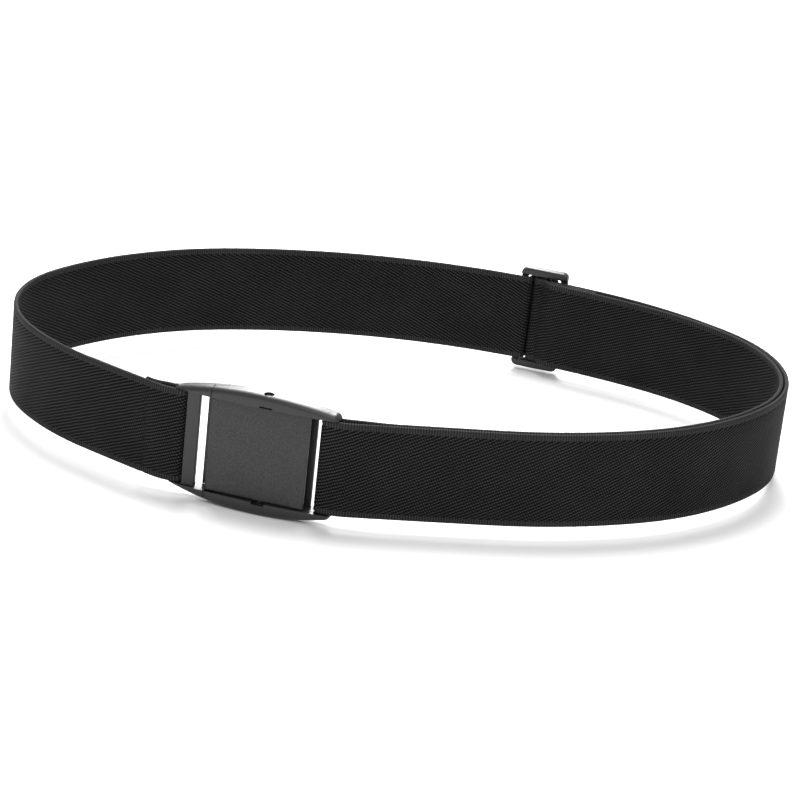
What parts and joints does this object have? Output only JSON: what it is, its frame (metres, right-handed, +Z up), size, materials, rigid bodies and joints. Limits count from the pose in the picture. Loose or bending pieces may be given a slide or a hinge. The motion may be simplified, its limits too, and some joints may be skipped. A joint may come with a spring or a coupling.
{
  "type": "elastic waist belt",
  "caption": "Black elastic webbing waist belt as a closed loop, with a low press-to-open plastic buckle and a three-bar slider that sets its length.",
  "frame": {"origin": "centre of the bounding box in plan, on the surface that the belt stands on", "axes": "+Z up, across the webbing; +X along the buckle, from the tongue half to the socket half; +Y from the buckle's front face into the loop"},
  "size_m": [0.3112, 0.2208, 0.0489],
  "materials": {
    "webbing": "knitted elastic twill, matte black",
    "thread": "black sewing thread",
    "buckle_plastic": "moulded, satin rails",
    "plate_plastic": "moulded, fine sand grain",
    "slider_plastic": "moulded, satin",
    "spring_plastic": "moulded, smooth",
    "pin_plastic": "smooth"
  },
  "bodies": {
    "socket": {"socket_frame": "buckle_plastic", "hinge_pin_upper": "pin_plastic", "hinge_pin_lower": "pin_plastic", "latch_spring": "spring_plastic", "webbing_socket_fold": "webbing", "webbing_right_outer": "webbing", "webbing_right_inner": "webbing", "webbing_back": "webbing", "webbing_left": "webbing"},
    "plate": {"release_plate": "plate_plastic"},
    "tongue": {"tongue_frame": "buckle_plastic", "webbing_tongue_fold": "webbing", "tongue_stitching": "thread"},
    "slider": {"slider_frame": "slider_plastic", "webbing_slider_weave": "webbing", "webbing_slider_fold": "webbing", "slider_stitching": "thread"}
  },
  "joints": [
    {"name": "release_press", "type": "hinge", "parent": "socket", "child": "plate", "pos_m": [-0.02083, -0.10722, 0.02447], "axis": [0, 0, 1], "range_deg": [0, 6], "stiffness_Nm_per_rad": 0.1, "springref_deg": -2.86, "deforming": ["latch_spring"]},
    {"name": "tongue_pull", "type": "slide", "parent": "socket", "child": "tongue", "axis": [-1, 0, 0], "range_m": [0, 0.034], "deforming": ["webbing_left", "latch_spring"]},
    {"name": "slider_adjust", "type": "slide", "parent": "socket", "child": "slider", "axis": [1, -0.0091, 0], "range_m": [-0.012, 0.012], "deforming": ["webbing_back", "webbing_right_outer", "webbing_right_inner"]}
  ]
}
